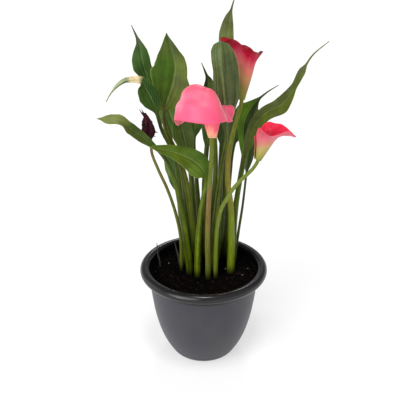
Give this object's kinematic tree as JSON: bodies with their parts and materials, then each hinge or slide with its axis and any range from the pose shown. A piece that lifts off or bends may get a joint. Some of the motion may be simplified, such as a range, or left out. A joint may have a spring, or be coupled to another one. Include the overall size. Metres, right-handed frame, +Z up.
{
  "type": "potted calla lily",
  "caption": "Calla lily with tall pointed leaves on long stalks and funnel-shaped pink blooms, one of them wilted, growing in peat in a round tapered pot with a rolled rim.",
  "frame": {"origin": "middle of the pot's flat base, on the surface that it stands on", "axes": "+Z up along the pot's axis, -Y towards the front of the plant, +X to the right seen from the front"},
  "size_m": [0.2624, 0.2391, 0.4673],
  "materials": {
    "leaf": "satin",
    "scape": "satin",
    "scape_olive": "satin",
    "spathe_pink": "satin",
    "spathe_crimson": "satin",
    "spathe_rose": "satin",
    "spadix": "matte",
    "wilted": "matte",
    "dry": "matte",
    "pot": "satin",
    "soil": "matte"
  },
  "bodies": {
    "root": {"leaf_low_left": "leaf", "leaf_front_droop": "leaf", "leaf_pointed": "leaf", "leaf_up_left": "leaf", "leaf_folded_tip": "leaf", "leaf_tall_back": "leaf", "leaf_hood": "leaf", "leaf_slim_middle": "leaf", "leaf_far_right": "leaf", "leaf_right": "leaf", "leaf_right_inner": "leaf", "leaf_inner_left": "leaf", "leaf_inner_middle": "leaf", "leaf_inner_right": "leaf", "leaf_back_left": "leaf", "leaf_back_middle": "leaf", "leaf_back_right": "leaf", "leaf_back_low": "leaf", "scape_front": "scape", "scape_upper": "scape_olive", "scape_right": "scape", "scape_wilted": "scape_olive", "spathe_front": "spathe_pink", "spathe_upper": "spathe_crimson", "spathe_right": "spathe_rose", "spathe_wilted": "wilted", "spadix_front": "spadix", "spadix_upper": "spadix", "spadix_right": "spadix", "dry_stub": "dry", "dry_twig": "dry", "pot": "pot", "soil": "soil"}
  },
  "joints": []
}
